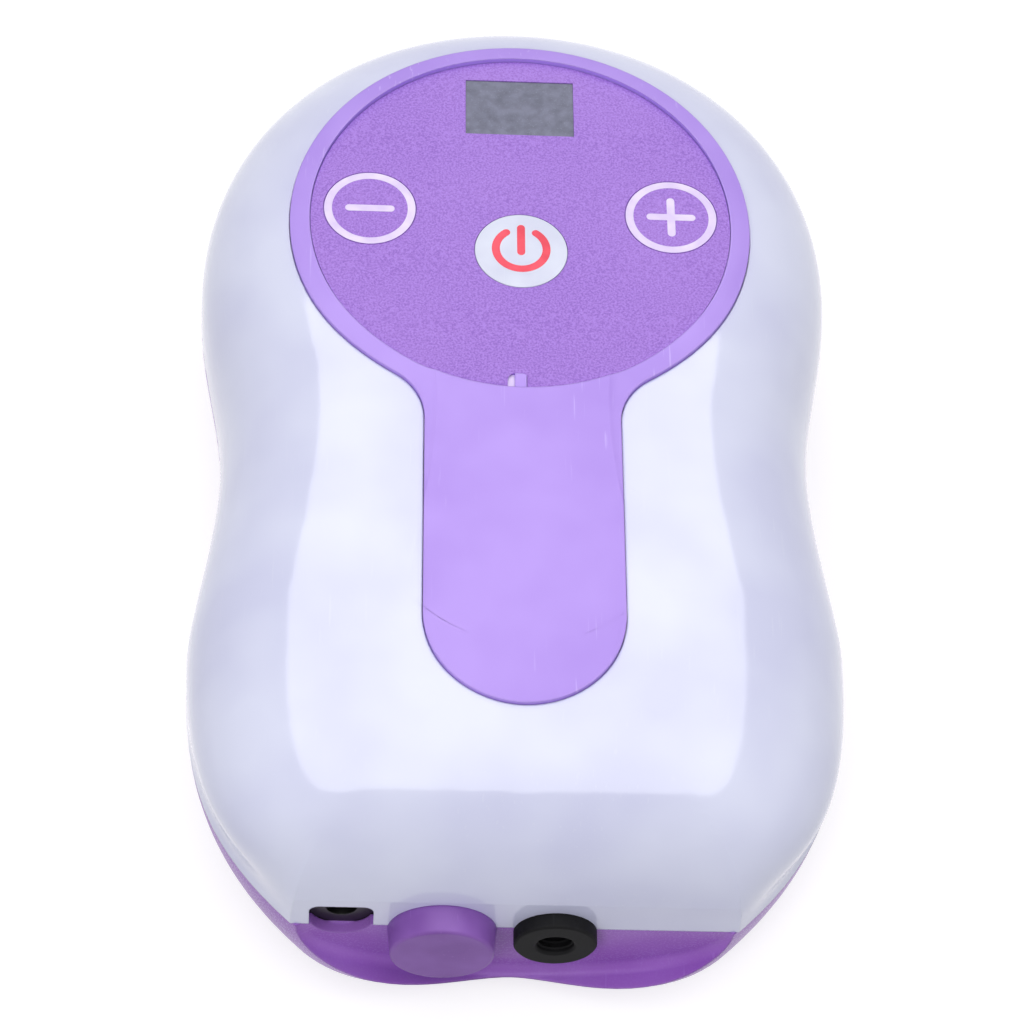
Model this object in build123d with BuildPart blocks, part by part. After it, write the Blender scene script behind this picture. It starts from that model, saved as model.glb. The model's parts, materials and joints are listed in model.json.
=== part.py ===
from build123d import *
import os
from math import atan2, cos, degrees, exp, radians, sin, sqrt, tan

# Compression therapy pump for leg wraps: a hand-sized waisted housing with a keypad on top
# and air and power ports in front. Millimetres; X right, Y to the back, Z up; the origin is
# on the floor under the middle of the outline.

# Housing outline, seen from above
back_half_width = 64.2
waist_half_width = 58.6
front_half_width = 63.3
back_end_y = 104.0
back_lobe_y = 41.2
waist_y = -4.2
front_lobe_y = -46.2
panel_y = -98.6
panel_half_width = 41.4
nose_y = -107.5
corner_angle = 43.0
back_fullness = 0.572
back_handle = 16.4
waist_handle = 16.6
front_handle = 7.9
side_handle = 24.4
corner_handle = 21.3
nose_reach = 0.38
nose_flat = 0.24

# Housing heights and walls
foot_height = 1.5
base_height = 20.5
cover_rise = 35.0
wall = 2.2
parting_z = foot_height + base_height
floor_z = foot_height + wall
apex_z = parting_z + cover_rise

# Shoulder of the cover and belly of the base, as inset from the outline
shoulder_reach = 42.0
shoulder_power = 2.8
shoulder_angles = (0, 10, 22, 36, 50, 64, 77, 90)
belly_reach = 15.0
corner_belly_reach = 7.5
belly_angles = (0, 18, 36, 54, 72, 90)
panel_skin = 0.4
corner_fade = 2.2

# Label plane that the keypad lies in
label_y = 41.25
label_z = parting_z + 34.0
label_tilt = 1.6
film_radius = 42.0
film_thickness = 0.6

# Keyhole panel let into the cover
ring_radius = 46.1
stem_half_width = 18.9
stem_end_y = -70.5
neck_radius = 12.0
panel_proud = 0.8
panel_seat = 1.2
seat_gap = 0.05
panel_gap = 0.15
panel_floor = 1.4
dish_gap = 0.4

# Keypad: key places are on the label plane, from its middle
key_radius = 9.2
key_gap = 0.15
key_thickness = 0.25
key_travel = 0.3
key_places = {"minus": (-30.2, 1.8), "power": (0.0, -8.0), "plus": (30.2, 1.8)}
post_radius = 2.0
window_width = 22.1
window_height = 14.5
window_middle = 29.5
window_thickness = 1.9
notch_width = 3.8
notch_height = 3.6
notch_middle = -1.0
tab_width = 2.3
tab_gap = 0.1
board_thickness = 1.6
board_drop = 7.0
switch_size = 6.0
switch_height = 3.4
switch_button_radius = 1.75
switch_button_rise = 0.9
switch_button_sunk = 1.2
keypad_board_size = (74.0, 50.0)
keypad_board_middle = 10.0
panel_post_spacing = (54.0, 38.0)
panel_post_radius = 2.6

# Screws and feet
small_screw_radius = 1.0
small_head_radius = 1.9
small_head_height = 1.2
case_screw_radius = 1.5
case_head_radius = 2.8
case_head_height = 2.0
case_head_seat = 5.0
case_screw_length = 25.0
case_boss_radius = 4.2
case_screw_places = ((-36.0, 76.0), (36.0, 76.0), (-31.0, -66.0), (31.0, -66.0))
foot_radius = 5.0
foot_sunk = 0.8
foot_places = ((-29.0, 56.0), (29.0, 56.0), (-33.0, -50.0), (33.0, -50.0))

# Main board on the base floor
main_board_size = (42.0, 44.0)
main_board_middle = (-27.0, 44.0)
main_board_z = 9.0
board_post_spacing = (34.0, 36.0)
board_post_radius = 2.8

# Air pump: motor along Y, crank chamber in front of it, pump head on top
pump_x = 24.0
shaft_z = 19.0
motor_radius = 12.2
motor_front_y = 32.0
motor_length = 30.0
shaft_radius = 1.0
crank_throw = 0.9
crank_bearing_radius = 3.5
crank_bearing_y = 19.0
crank_bearing_width = 4.0
frame_front_y = 6.0
frame_half_width = 14.0
frame_low_z = 7.0
frame_top_z = 33.0
chamber_half_width = 10.0
chamber_wall = 2.5
piston_bore = 9.0
diaphragm_thickness = 1.0
valve_plate_thickness = 2.5
head_height = 6.0
head_screw_spacing = (24.0, 21.0)
nipple_radius = 1.9
nipple_bore = 0.9
nipple_length = 8.0
tube_wall = 1.0

# Vent valve and air manifold
valve_middle = (-28.0, -40.0)
valve_size = (22.0, 14.0, 14.0)
plunger_radius = 2.0
plunger_travel = 1.2
manifold_size = (34.0, 8.0, 11.0)
manifold_x = -2.7
manifold_nipples = {"pump": 6.0, "sensor": -2.0, "valve": -10.0}
spigot_radius = 3.9

# Ports in the front panel
port_z = 20.6
outlet_x = 7.5
capped_outlet_x = -13.6
flange_radius = 7.8
flange_proud = 2.95
neck_radius_outlet = 5.0
bore_radius = 3.5
tail_length = 6.0
spigot_reach = 4.0
cap_radius = 10.2
cap_draft = 0.5
cap_proud = 5.4
cap_stem = 6.0
jack_x = -32.4
jack_z = 24.3
jack_recess_radius = 5.95
jack_notch_top = 29.1
jack_size = (12.0, 11.0)
jack_depth = 13.0
socket_radius = 2.85
socket_depth = 9.5
running_gap = 0.05
fit_gap = 0.1

label_plane = Plane(
    origin=(0, label_y, label_z),
    x_dir=(1, 0, 0),
    z_dir=(0, sin(radians(label_tilt)), cos(radians(label_tilt))),
)


def outline(inset, height, corner, side_angle, handle, nose, nose_angle):
    # Waisted outline drawn in from the widest one by an inset, at a height
    corner_x, corner_y = corner
    side = (cos(radians(side_angle)), sin(radians(side_angle)))
    shrink = (front_lobe_y - corner_y) / (front_lobe_y - panel_y)
    with BuildSketch(Plane.XY.offset(height)) as section:
        with BuildLine():
            Bezier(
                (0, back_end_y - inset),
                (back_fullness * (back_half_width - inset), back_end_y - inset),
                (back_half_width - inset, back_lobe_y + back_fullness * (back_end_y - back_lobe_y - inset)),
                (back_half_width - inset, back_lobe_y),
            )
            Bezier(
                (back_half_width - inset, back_lobe_y),
                (back_half_width - inset, back_lobe_y - back_handle),
                (waist_half_width - inset, waist_y + waist_handle),
                (waist_half_width - inset, waist_y),
            )
            Bezier(
                (waist_half_width - inset, waist_y),
                (waist_half_width - inset, waist_y - waist_handle),
                (front_half_width - inset, front_lobe_y + front_handle),
                (front_half_width - inset, front_lobe_y),
            )
            Bezier(
                (front_half_width - inset, front_lobe_y),
                (front_half_width - inset, front_lobe_y - side_handle * shrink),
                (corner_x + handle * shrink * side[0], corner_y + handle * shrink * side[1]),
                (corner_x, corner_y),
            )
            Bezier(
                (corner_x, corner_y),
                (
                    corner_x * (1 - nose_reach * cos(radians(nose_angle))),
                    corner_y - corner_x * nose_reach * sin(radians(nose_angle)),
                ),
                (corner_x * nose_flat, nose),
                (0, nose),
            )
            mirror(about=Plane.YZ)
        make_face()
    return section.sketch.face()


def cover_form(wall_in, lift):
    # Solid under the shoulder surface, drawn in by a wall and moved by a lift; its front corners
    # are sharp at the parting line and turn round as the surface draws in
    sections = []
    for angle in shoulder_angles:
        run = abs(cos(radians(angle))) ** (2 / shoulder_power)
        rise = sin(radians(angle)) ** (2 / shoulder_power)
        inset = shoulder_reach * (1 - run) + wall_in
        fade = exp((wall_in - inset) / corner_fade)
        corner_x = panel_half_width * (1 - inset / (shoulder_reach + wall + 6))
        front_y = panel_y - panel_skin + inset
        height = parting_z + cover_rise * rise + lift
        sections.append(
            outline(inset, height, (corner_x, front_y), corner_angle * fade, corner_handle, front_y, 0)
        )
    with BuildPart() as form:
        loft(sections=sections)
    return form.part


def base_form(wall_in):
    # Solid bowl below the parting line, drawn in by a wall
    sections = []
    slope = radians(corner_angle)
    for angle in belly_angles:
        inset = belly_reach * (1 - cos(radians(angle))) + wall_in
        corner_in = corner_belly_reach * (1 - cos(radians(angle))) + wall_in
        corner = (panel_half_width - corner_in * sin(slope), panel_y + corner_in * cos(slope))
        height = parting_z - (base_height - wall_in) * sin(radians(angle))
        sections.append(
            outline(inset, height, corner, corner_angle, corner_handle, nose_y + inset, corner_angle)
        )
    with BuildPart() as form:
        loft(sections=sections)
    return form.part


def in_front_of(place):
    # Block that takes off everything in front of a crosswise plane
    with BuildPart() as block:
        with BuildSketch(Plane.XZ.offset(-place)):
            Rectangle(4 * back_half_width, 4 * apex_z)
        extrude(amount=4 * wall + abs(nose_y - panel_y))
    return block.part


def port_plane(set_back):
    # Plane across a port axis, a distance behind the front panel, facing forward
    return Plane(origin=(0, panel_y + set_back, 0), x_dir=(1, 0, 0), z_dir=(0, -1, 0))


def keyhole(gap):
    # Prism of the keyhole outline, with a gap all round
    ring = ring_radius + gap
    stem = stem_half_width + gap
    neck = neck_radius - gap
    neck_x = stem + neck
    neck_drop = sqrt((ring + neck) ** 2 - neck_x**2)
    neck_y = label_y - neck_drop
    touch = (neck_x * ring / (ring + neck), label_y - neck_drop * ring / (ring + neck))
    end_y = stem_end_y + stem_half_width
    with BuildPart() as prism:
        with BuildSketch(Plane.XY.offset(apex_z - cover_rise / 4)):
            with BuildLine():
                over = ThreePointArc(touch, (0, label_y + ring), (-touch[0], touch[1]))
                left_neck = ThreePointArc(
                    over @ 1,
                    (-neck_x + neck * cos(radians(25)), neck_y + neck * sin(radians(25))),
                    (-stem, neck_y),
                )
                left_side = Line(left_neck @ 1, (-stem, end_y))
                end = ThreePointArc(left_side @ 1, (0, end_y - stem), (stem, end_y))
                right_side = Line(end @ 1, (stem, neck_y))
                ThreePointArc(
                    right_side @ 1,
                    (neck_x - neck * cos(radians(25)), neck_y + neck * sin(radians(25))),
                    over @ 0,
                )
            make_face()
        extrude(amount=cover_rise)
    return prism.part


def label_disc(radius, low, high):
    # Round slug standing square to the label plane, between two heights from it
    with BuildPart() as slug:
        with BuildSketch(label_plane.offset(low)):
            Circle(radius)
        extrude(amount=high - low)
    return slug.part


def screw_bosses(radius, low, high):
    # Round posts on the case screw places, between two heights
    with BuildPart() as bosses:
        with BuildSketch(Plane.XY.offset(low)):
            with Locations(*case_screw_places):
                Circle(radius)
        extrude(amount=high - low)
    return bosses.part


def write(piece, name):
    piece.label = name
    export_step(piece, f"parts/{name}.step")


os.makedirs("parts", exist_ok=True)

# Shared forms
cover_outside = cover_form(0, 0)
cover_inside = cover_form(wall, -wall)
base_outside = base_form(0)
base_inside = base_form(wall)
crown_raised = cover_form(0, panel_proud)
crown_pocket = cover_form(0, -panel_seat - seat_gap)
crown_lowered = cover_form(0, -panel_seat)
film_low = -film_thickness
floor_low = film_low - panel_floor
tray_radius = film_radius + key_gap

# Top cover: shell with the keyhole pocket, the well for the dished keypad and the port cuts
with BuildPart() as top_cover:
    add(cover_outside)
    add(keyhole(panel_gap) - crown_pocket, mode=Mode.SUBTRACT)
    add(in_front_of(panel_y), mode=Mode.SUBTRACT)
    add(cover_inside - in_front_of(panel_y + wall), mode=Mode.SUBTRACT)
    add(label_disc(tray_radius + dish_gap, -3 * wall, 2 * wall), mode=Mode.SUBTRACT)
    with BuildSketch(port_plane(-fit_gap)):
        with Locations((jack_x, parting_z)):
            RectangleRounded(2 * jack_recess_radius, 2 * (jack_notch_top - parting_z), 2.0)
    extrude(amount=-2 * wall, mode=Mode.SUBTRACT)
    for port_x in (outlet_x, capped_outlet_x):
        with BuildSketch(port_plane(-fit_gap)):
            with Locations((port_x, port_z)):
                Circle(neck_radius_outlet + fit_gap)
        extrude(amount=-2 * wall, mode=Mode.SUBTRACT)
    add(screw_bosses(case_boss_radius - 0.6, parting_z, apex_z) & cover_outside)
    with BuildSketch(Plane.XY.offset(parting_z)):
        with Locations(*case_screw_places):
            Circle(case_screw_radius)
    extrude(amount=case_screw_length + case_head_seat - parting_z + 1, mode=Mode.SUBTRACT)
write(top_cover.part, "top_cover")

# Base case: bowl with the flat port panel let into its nose
pocket_depth = 17.3
with BuildPart() as pocket:
    with BuildSketch(port_plane(0)):
        with Locations((0, parting_z)):
            Ellipse(panel_half_width, pocket_depth)
    extrude(amount=4 * wall + 4)
    fillet(pocket.faces().sort_by(Axis.Y)[-1].edges(), 2.0)
with BuildPart() as jack_shelf:
    with BuildSketch(Plane.XY.offset(foot_height)):
        with Locations((jack_x, panel_y + wall + jack_depth / 2)):
            Rectangle(jack_size[0] - 2, jack_depth)
    extrude(amount=jack_z - jack_size[1] / 2 - foot_height)
with BuildPart() as base_case:
    add(base_outside)
    add(pocket.part, mode=Mode.SUBTRACT)
    add(base_inside - in_front_of(panel_y + wall), mode=Mode.SUBTRACT)
    for port_x, port_height, port_radius in (
        (outlet_x, port_z, neck_radius_outlet + fit_gap),
        (capped_outlet_x, port_z, neck_radius_outlet + fit_gap),
        (jack_x, jack_z, jack_recess_radius),
    ):
        with BuildSketch(port_plane(-fit_gap)):
            with Locations((port_x, port_height)):
                Circle(port_radius)
        extrude(amount=-2 * wall, mode=Mode.SUBTRACT)
    add(screw_bosses(case_boss_radius, foot_height, parting_z) & base_outside)
    with BuildSketch():
        with Locations(*case_screw_places):
            Circle(case_head_radius + fit_gap)
    extrude(amount=case_head_seat, mode=Mode.SUBTRACT)
    with BuildSketch():
        with Locations(*case_screw_places):
            Circle(case_screw_radius + fit_gap)
    extrude(amount=parting_z + wall, mode=Mode.SUBTRACT)
    with BuildSketch(Plane.XY.offset(foot_height)):
        with Locations(*foot_places):
            Circle(foot_radius + fit_gap)
    extrude(amount=foot_sunk, mode=Mode.SUBTRACT)
    with BuildSketch(Plane.XY.offset(floor_z - wall / 2)):
        with Locations(main_board_middle):
            with GridLocations(*board_post_spacing, 2, 2):
                Circle(board_post_radius)
    extrude(amount=main_board_z - floor_z + wall / 2)
    with BuildSketch(Plane.XY.offset(floor_z)):
        with Locations(main_board_middle):
            with GridLocations(*board_post_spacing, 2, 2):
                Circle(small_screw_radius)
    extrude(amount=main_board_z - floor_z, mode=Mode.SUBTRACT)
    add(jack_shelf.part & base_outside)
write(base_case.part, "base_case")

# Keyhole panel: follows the crown, open where the keypad tray closes it from below
with BuildPart() as control_panel:
    add(keyhole(0) - label_disc(tray_radius, -3 * wall, 2 * wall))
    add(crown_lowered, mode=Mode.SUBTRACT)
    add(crown_raised, mode=Mode.INTERSECT)
write(control_panel.part, "control_panel")

# Keypad tray: floor under the film, with openings for keys and window and posts for the board
with BuildPart() as keypad_tray:
    with BuildSketch(label_plane.offset(floor_low)):
        Circle(tray_radius)
        with Locations(*key_places.values()):
            Circle(post_radius + 2 * key_gap, mode=Mode.SUBTRACT)
        with Locations((0, window_middle)):
            Rectangle(window_width, window_height, mode=Mode.SUBTRACT)
    extrude(amount=panel_floor)
    with BuildSketch(label_plane.offset(floor_low)):
        with Locations((0, keypad_board_middle)):
            with GridLocations(*panel_post_spacing, 2, 2):
                Circle(panel_post_radius)
                Circle(small_screw_radius, mode=Mode.SUBTRACT)
    extrude(amount=-board_drop - floor_low)
    with BuildSketch(label_plane.offset(film_low)):
        with Locations((notch_middle + (notch_width - tab_width) / 2 - tab_gap, -film_radius + notch_height / 2)):
            Rectangle(tab_width, notch_height)
    extrude(amount=film_thickness)
write(keypad_tray.part, "keypad_tray")

# Keypad film: one disc with the key places and the window left open
with BuildPart() as keypad_overlay:
    with BuildSketch(label_plane.offset(film_low)):
        Circle(film_radius)
        with Locations(*key_places.values()):
            Circle(key_radius + key_gap, mode=Mode.SUBTRACT)
        with Locations((0, window_middle)):
            Rectangle(window_width, window_height, mode=Mode.SUBTRACT)
        with Locations((notch_middle, notch_height / 2 - film_radius)):
            Rectangle(notch_width, notch_height, mode=Mode.SUBTRACT)
    extrude(amount=film_thickness)
write(keypad_overlay.part, "keypad_overlay")

# Window over the display, standing on the display module
window_low = floor_low - 0.1
with BuildPart() as display_window:
    with BuildSketch(label_plane.offset(window_low)):
        with Locations((0, window_middle)):
            Rectangle(window_width - fit_gap, window_height - fit_gap)
    extrude(amount=window_thickness)
write(display_window.part, "display_window")

# Keys, each with the post that reaches its switch and the switch button under it
board_top = -board_drop
switch_top = board_top + switch_height
button_top = switch_top + switch_button_rise
for key_name, key_place in key_places.items():
    with BuildPart() as key:
        with BuildSketch(label_plane.offset(-key_thickness)):
            with Locations(key_place):
                Circle(key_radius)
        extrude(amount=key_thickness)
        with BuildSketch(label_plane.offset(button_top)):
            with Locations(key_place):
                Circle(post_radius)
        extrude(amount=-key_thickness - button_top)
    write(key.part, f"{key_name}_key")
    with BuildPart() as button:
        with BuildSketch(label_plane.offset(switch_top - switch_button_sunk)):
            with Locations(key_place):
                Circle(switch_button_radius)
        extrude(amount=switch_button_sunk + switch_button_rise)
    write(button.part, f"{key_name}_switch_button")

# Tact switch bodies on the keypad board
with BuildPart() as key_switches:
    with BuildSketch(label_plane.offset(board_top)):
        with Locations(*key_places.values()):
            RectangleRounded(switch_size, switch_size, 0.5)
    extrude(amount=switch_height)
    with BuildSketch(label_plane.offset(switch_top)):
        with Locations(*key_places.values()):
            Circle(switch_button_radius + running_gap)
    extrude(amount=-switch_button_sunk - 2 * key_travel, mode=Mode.SUBTRACT)
write(key_switches.part, "key_switches")

# Keypad board and the screws that hold it to the posts of the panel
with BuildPart() as keypad_board:
    with BuildSketch(label_plane.offset(board_top - board_thickness)):
        with Locations((0, keypad_board_middle)):
            RectangleRounded(*keypad_board_size, 12.0)
        with Locations((0, keypad_board_middle)):
            with GridLocations(*panel_post_spacing, 2, 2):
                Circle(small_screw_radius + fit_gap, mode=Mode.SUBTRACT)
    extrude(amount=board_thickness)
write(keypad_board.part, "keypad_board")

board_low = board_top - board_thickness
with BuildPart() as keypad_screws:
    with BuildSketch(label_plane.offset(board_low)):
        with Locations((0, keypad_board_middle)):
            with GridLocations(*panel_post_spacing, 2, 2):
                Circle(small_head_radius)
    extrude(amount=-small_head_height)
    with BuildSketch(label_plane.offset(board_low)):
        with Locations((0, keypad_board_middle)):
            with GridLocations(*panel_post_spacing, 2, 2):
                Circle(small_screw_radius - running_gap)
    extrude(amount=board_thickness + 4)
write(keypad_screws.part, "keypad_screws")

# Display module under the window
with BuildPart() as display_module:
    with BuildSketch(label_plane.offset(board_top)):
        with Locations((0, window_middle)):
            Rectangle(window_width + 2, window_height + 2)
    extrude(amount=window_low - board_top)
write(display_module.part, "display_module")

# Rubber air outlets: flange, neck through the housing and a bead behind it
for outlet_name, port_x in (("air_outlet", outlet_x), ("capped_outlet", capped_outlet_x)):
    with BuildPart() as outlet:
        with BuildSketch(port_plane(-flange_proud)):
            with Locations((port_x, port_z)):
                Circle(flange_radius)
        extrude(amount=-flange_proud)
        chamfer(outlet.faces().sort_by(Axis.Y)[0].edges(), 0.4)
        with BuildSketch(port_plane(0)):
            with Locations((port_x, port_z)):
                Circle(neck_radius_outlet)
        extrude(amount=-wall - tail_length)
        with BuildSketch(port_plane(wall + fit_gap)):
            with Locations((port_x, port_z)):
                Circle(neck_radius_outlet + 1.2)
        extrude(amount=-1.5)
        with BuildSketch(port_plane(-flange_proud)):
            with Locations((port_x, port_z)):
                Circle(bore_radius)
        extrude(amount=-flange_proud - wall - tail_length, mode=Mode.SUBTRACT)
        with BuildSketch(port_plane(wall + tail_length)):
            with Locations((port_x, port_z)):
                Circle(spigot_radius + running_gap)
        extrude(amount=spigot_reach + fit_gap, mode=Mode.SUBTRACT)
        chamfer(outlet.faces().sort_by(Axis.Y)[0].edges().sort_by(SortBy.LENGTH)[0], 0.4)
    write(outlet.part, outlet_name)

# Pull-off plug that closes the second outlet
with BuildPart() as port_plug:
    with BuildSketch(port_plane(0)):
        with Locations((capped_outlet_x, port_z)):
            Circle(cap_radius)
    extrude(amount=cap_proud, taper=degrees(atan2(cap_draft, cap_proud)))
    fillet(port_plug.faces().sort_by(Axis.Y)[0].edges(), 0.6)
    with BuildSketch(port_plane(0)):
        with Locations((capped_outlet_x, port_z)):
            Circle(flange_radius + fit_gap)
    extrude(amount=flange_proud + fit_gap, mode=Mode.SUBTRACT)
    with BuildSketch(port_plane(-flange_proud - fit_gap)):
        with Locations((capped_outlet_x, port_z)):
            Circle(bore_radius - running_gap)
    extrude(amount=-cap_stem)
    chamfer(port_plug.faces().sort_by(Axis.Y)[-1].edges(), 0.5)
write(port_plug.part, "port_plug")

# Power jack behind its recess: a block with a round socket and a centre pin
with BuildPart() as dc_jack:
    with BuildSketch(port_plane(wall + fit_gap)):
        with Locations((jack_x, jack_z)):
            RectangleRounded(*jack_size, 1.0)
            Circle(socket_radius, mode=Mode.SUBTRACT)
    extrude(amount=-socket_depth)
    with BuildSketch(port_plane(wall + fit_gap + socket_depth)):
        with Locations((jack_x, jack_z)):
            RectangleRounded(*jack_size, 1.0)
    extrude(amount=socket_depth - jack_depth)
write(dc_jack.part, "dc_jack")
with BuildPart() as jack_pin:
    with BuildSketch(port_plane(wall + fit_gap + socket_depth)):
        with Locations((jack_x, jack_z)):
            Circle(0.95)
    extrude(amount=8.0)
    fillet(jack_pin.faces().sort_by(Axis.Y)[0].edges(), 0.6)
write(jack_pin.part, "jack_pin")

# Rubber feet in shallow seats
with BuildPart() as rubber_feet:
    with BuildSketch():
        with Locations(*foot_places):
            Circle(foot_radius)
    extrude(amount=foot_height + foot_sunk)
    chamfer(rubber_feet.faces().group_by(Axis.Z)[0].edges(), 0.4)
write(rubber_feet.part, "rubber_feet")

# Case screws, driven up from below
with BuildPart() as case_screws:
    with BuildSketch(Plane.XY.offset(case_head_seat - case_head_height)):
        with Locations(*case_screw_places):
            Circle(case_head_radius)
    extrude(amount=case_head_height)
    with BuildSketch(Plane.XY.offset(case_head_seat)):
        with Locations(*case_screw_places):
            Circle(case_screw_radius - running_gap)
    extrude(amount=case_screw_length)
write(case_screws.part, "case_screws")

# Main board with its screws and components
with BuildPart() as main_board:
    with BuildSketch(Plane.XY.offset(main_board_z)):
        with Locations(main_board_middle):
            RectangleRounded(*main_board_size, 2.0)
            with GridLocations(*board_post_spacing, 2, 2):
                Circle(small_screw_radius + fit_gap, mode=Mode.SUBTRACT)
    extrude(amount=board_thickness)
write(main_board.part, "main_board")
board_face_z = main_board_z + board_thickness
with BuildPart() as board_screws:
    with BuildSketch(Plane.XY.offset(board_face_z)):
        with Locations(main_board_middle):
            with GridLocations(*board_post_spacing, 2, 2):
                Circle(small_head_radius)
    extrude(amount=small_head_height)
    with BuildSketch(Plane.XY.offset(board_face_z)):
        with Locations(main_board_middle):
            with GridLocations(*board_post_spacing, 2, 2):
                Circle(small_screw_radius - running_gap)
    extrude(amount=-board_thickness - 3)
write(board_screws.part, "board_screws")
with BuildPart() as control_chip:
    with BuildSketch(Plane.XY.offset(board_face_z)):
        with Locations((main_board_middle[0], main_board_middle[1] + 4)):
            Rectangle(7.5, 13.0)
    extrude(amount=2.3)
write(control_chip.part, "control_chip")
with BuildPart() as filter_capacitors:
    with BuildSketch(Plane.XY.offset(board_face_z)):
        with Locations(main_board_middle):
            with Locations((-12, -8), (-12, 3)):
                Circle(4.0)
    extrude(amount=11)
    fillet(filter_capacitors.faces().group_by(Axis.Z)[-1].edges(), 0.5)
write(filter_capacitors.part, "filter_capacitors")
with BuildPart() as buzzer:
    with BuildSketch(Plane.XY.offset(board_face_z)):
        with Locations((main_board_middle[0] + 13, main_board_middle[1] + 8)):
            Circle(5.0)
    extrude(amount=6)
    with BuildSketch(Plane.XY.offset(board_face_z + 6)):
        with Locations((main_board_middle[0] + 13, main_board_middle[1] + 8)):
            Circle(1.2)
    extrude(amount=-2, mode=Mode.SUBTRACT)
write(buzzer.part, "buzzer")
sensor_place = (main_board_middle[0] + 12, main_board_middle[1] - 10)
with BuildPart() as pressure_sensor:
    with BuildSketch(Plane.XY.offset(board_face_z)):
        with Locations(sensor_place):
            Rectangle(8.0, 8.0)
    extrude(amount=5)
    with BuildSketch(Plane.XY.offset(board_face_z + 5)):
        with Locations(sensor_place):
            Circle(nipple_radius)
            Circle(nipple_bore, mode=Mode.SUBTRACT)
    extrude(amount=5)
write(pressure_sensor.part, "pressure_sensor")

# Motor: can with bearing bores for the shaft, and a plastic end cap with two terminals
with BuildPart() as motor_can:
    with BuildSketch(Plane(origin=(pump_x, motor_front_y, shaft_z), x_dir=(1, 0, 0), z_dir=(0, 1, 0))):
        Circle(motor_radius)
    extrude(amount=motor_length)
    fillet(motor_can.faces().sort_by(Axis.Y)[0].edges(), 1.2)
    with BuildSketch(Plane(origin=(pump_x, motor_front_y, shaft_z), x_dir=(1, 0, 0), z_dir=(0, 1, 0))):
        Circle(3.0)
    extrude(amount=-1.5)
    with BuildSketch(Plane(origin=(pump_x, motor_front_y - 2, shaft_z), x_dir=(1, 0, 0), z_dir=(0, 1, 0))):
        Circle(shaft_radius + running_gap)
    extrude(amount=motor_length + 3, mode=Mode.SUBTRACT)
write(motor_can.part, "motor_can")
with BuildPart() as motor_end_cap:
    with BuildSketch(
        Plane(origin=(pump_x, motor_front_y + motor_length, shaft_z), x_dir=(1, 0, 0), z_dir=(0, 1, 0))
    ):
        Circle(motor_radius - 1)
        Circle(shaft_radius + running_gap, mode=Mode.SUBTRACT)
    extrude(amount=2)
write(motor_end_cap.part, "motor_end_cap")


def shaft_plane(y):
    # Plane across the motor shaft, facing back
    return Plane(origin=(pump_x, y, shaft_z), x_dir=(-1, 0, 0), z_dir=(0, 1, 0))


# Rotor: shaft, and the eccentric with its counterweight and crank pin
with BuildPart() as motor_shaft:
    with BuildSketch(shaft_plane(motor_front_y - 8)):
        Circle(shaft_radius)
    extrude(amount=8 + motor_length)
write(motor_shaft.part, "motor_shaft")
with BuildPart() as eccentric:
    with BuildSketch(shaft_plane(motor_front_y - 8)):
        Circle(5.0)
        Circle(shaft_radius, mode=Mode.SUBTRACT)
    extrude(amount=5)
    with BuildSketch(shaft_plane(crank_bearing_y)):
        with Locations((crank_throw, 0)):
            Circle(1.5)
    extrude(amount=motor_front_y - 8 - crank_bearing_y)
write(eccentric.part, "eccentric")
with BuildPart() as crank_bearing:
    with BuildSketch(shaft_plane(crank_bearing_y)):
        with Locations((crank_throw, 0)):
            Circle(crank_bearing_radius)
            Circle(1.5, mode=Mode.SUBTRACT)
    extrude(amount=crank_bearing_width)
write(crank_bearing.part, "crank_bearing")

# Connecting rod: loose ring round the crank bearing, stem and foot under the diaphragm
rod_bore = crank_bearing_radius + 2 * crank_throw + 0.4
with BuildPart() as connecting_rod:
    with BuildSketch(shaft_plane(crank_bearing_y)):
        Circle(rod_bore + 1.6)
        with Locations((0, rod_bore + 3)):
            Rectangle(4, 6)
        Circle(rod_bore, mode=Mode.SUBTRACT)
    extrude(amount=crank_bearing_width)
    with BuildSketch(Plane(origin=(pump_x, crank_bearing_y + 2, frame_top_z - 1.6))):
        Circle(5.0)
    extrude(amount=-1.6)
write(connecting_rod.part, "connecting_rod")


def footprint(height, thickness):
    # Plate of the pump's footprint with its four screw holes
    with BuildPart() as plate:
        with BuildSketch(Plane.XY.offset(height)):
            with Locations((pump_x, (frame_front_y + motor_front_y) / 2)):
                RectangleRounded(2 * frame_half_width, motor_front_y - frame_front_y, 2.5)
                with GridLocations(*head_screw_spacing, 2, 2):
                    Circle(small_screw_radius + running_gap, mode=Mode.SUBTRACT)
        extrude(amount=thickness)
    return plate.part


def nipple(plane, reach):
    # Hose nipple: tube with a bead at its end, standing out of a plane
    with BuildPart() as spout:
        with BuildSketch(plane):
            Circle(nipple_radius)
            Circle(nipple_bore, mode=Mode.SUBTRACT)
        extrude(amount=reach)
    return spout.part


# Pump frame: crank chamber with the motor wall behind and the piston bore on top
piston_y = crank_bearing_y + crank_bearing_width / 2
with BuildPart() as pump_frame:
    add(footprint(frame_low_z, frame_top_z - frame_low_z))
    with BuildSketch(Plane.XY.offset(frame_low_z + chamber_wall)):
        with Locations((pump_x, (frame_front_y + motor_front_y) / 2)):
            Rectangle(2 * chamber_half_width, motor_front_y - frame_front_y - 2 * chamber_wall)
    extrude(amount=frame_top_z - frame_low_z - 2 * chamber_wall, mode=Mode.SUBTRACT)
    with BuildSketch(Plane.XY.offset(frame_top_z - chamber_wall)):
        with Locations((pump_x, piston_y)):
            Circle(piston_bore)
    extrude(amount=chamber_wall, mode=Mode.SUBTRACT)
    with BuildSketch(shaft_plane(motor_front_y - chamber_wall)):
        Circle(3.0 + running_gap)
    extrude(amount=chamber_wall, mode=Mode.SUBTRACT)
write(pump_frame.part, "pump_frame")

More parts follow.
